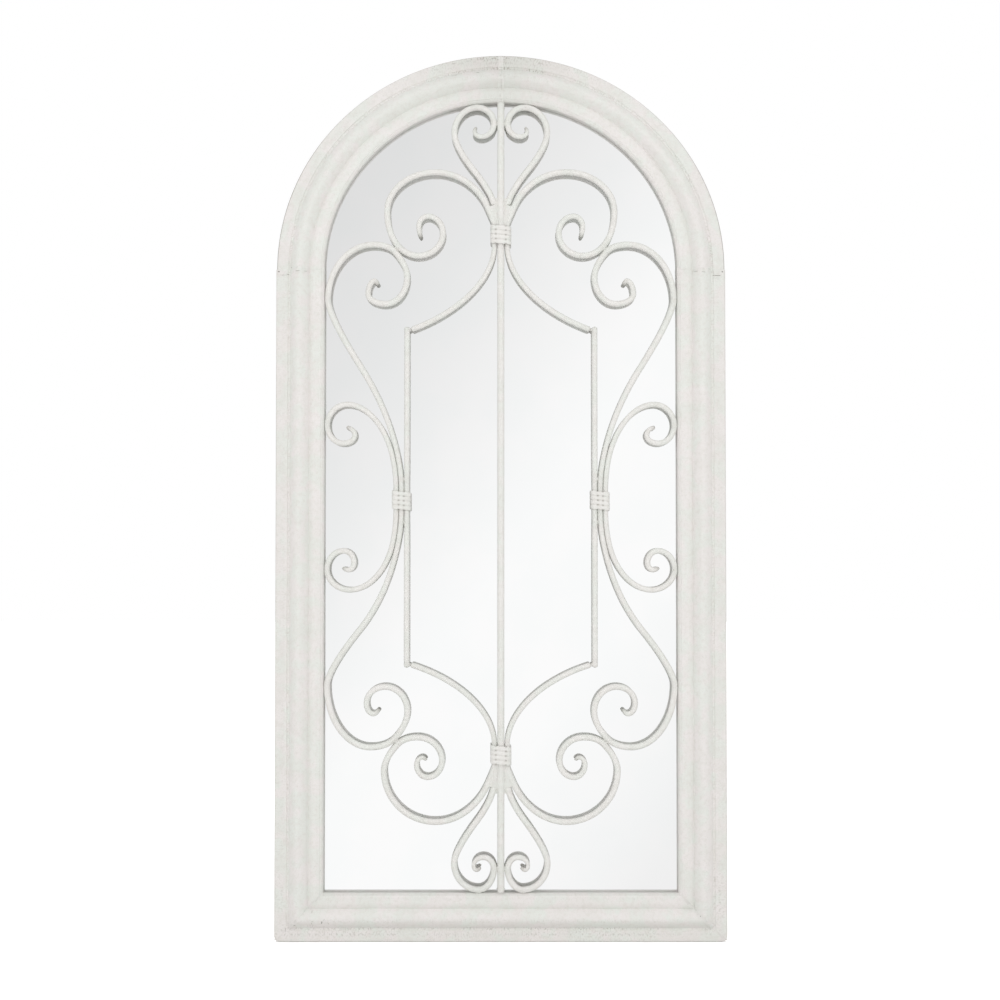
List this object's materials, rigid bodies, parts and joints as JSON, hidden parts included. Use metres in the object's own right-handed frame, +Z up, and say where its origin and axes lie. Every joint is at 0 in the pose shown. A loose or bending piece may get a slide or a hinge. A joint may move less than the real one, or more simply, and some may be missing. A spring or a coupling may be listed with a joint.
{
  "type": "arched window mirror",
  "caption": "Arched wall mirror with a pressed metal frame and a wrought scroll grille in front of the glass, hung on swinging rings.",
  "frame": {"origin": "on the wall plane, midway between the two hanging rings, at the height of their axes", "axes": "+Z up, +Y into the wall, the mirror facing -Y, +X to the right of someone facing the mirror"},
  "size_m": [0.508, 0.0325, 1],
  "materials": {
    "distressed_paint": "distressed matt off-white",
    "silvered_glass": "polished",
    "hardboard": "raw hardboard",
    "zinc_plate": "bright zinc plate",
    "black_rubber": "matt"
  },
  "bodies": {
    "mirror": {"frame_bottom_rail": "distressed_paint", "frame_arch_left": "distressed_paint", "frame_arch_right": "distressed_paint", "frame_stile_left": "distressed_paint", "frame_stile_right": "distressed_paint", "centre_bar": "distressed_paint", "top_heart_scroll_left": "distressed_paint", "top_heart_scroll_right": "distressed_paint", "bottom_heart_scroll_left": "distressed_paint", "bottom_heart_scroll_right": "distressed_paint", "upper_scroll_left": "distressed_paint", "upper_scroll_right": "distressed_paint", "lower_scroll_left": "distressed_paint", "lower_scroll_right": "distressed_paint", "side_bow_scroll_left": "distressed_paint", "side_bow_scroll_right": "distressed_paint", "side_c_scroll_left": "distressed_paint", "side_c_scroll_right": "distressed_paint", "lyre_side_bar_left": "distressed_paint", "lyre_side_bar_right": "distressed_paint", "collar_top": "distressed_paint", "collar_bottom": "distressed_paint", "collar_left": "distressed_paint", "collar_right": "distressed_paint", "mirror_glass": "silvered_glass", "backing_board": "hardboard", "clip_stile_low_left": "zinc_plate", "clip_stile_low_right": "zinc_plate", "clip_stile_high_left": "zinc_plate", "clip_stile_high_right": "zinc_plate", "clip_arch_left": "zinc_plate", "clip_arch_right": "zinc_plate", "clip_rail_left": "zinc_plate", "clip_rail_right": "zinc_plate", "clip_screw_stile_low_left": "zinc_plate", "clip_screw_stile_low_right": "zinc_plate", "clip_screw_stile_high_left": "zinc_plate", "clip_screw_stile_high_right": "zinc_plate", "clip_screw_arch_left": "zinc_plate", "clip_screw_arch_right": "zinc_plate", "clip_screw_rail_left": "zinc_plate", "clip_screw_rail_right": "zinc_plate", "hanger_plate_left": "zinc_plate", "hanger_plate_right": "zinc_plate", "hanger_screw_lower_left": "zinc_plate", "hanger_screw_lower_right": "zinc_plate", "hanger_screw_upper_left": "zinc_plate", "hanger_screw_upper_right": "zinc_plate", "bumper_lower_left": "black_rubber", "bumper_lower_right": "black_rubber", "bumper_upper_left": "black_rubber", "bumper_upper_right": "black_rubber"},
    "ring_left": {"hanging_ring_left": "zinc_plate"},
    "ring_right": {"hanging_ring_right": "zinc_plate"}
  },
  "joints": [
    {"name": "ring_swing_left", "type": "hinge", "parent": "mirror", "child": "ring_left", "pos_m": [-0.224, -0.0037, 0], "axis": [1, 0, 0], "range_deg": [0, 180]},
    {"name": "ring_swing_right", "type": "hinge", "parent": "mirror", "child": "ring_right", "pos_m": [0.224, -0.0037, 0], "axis": [1, 0, 0], "range_deg": [0, 180]}
  ]
}
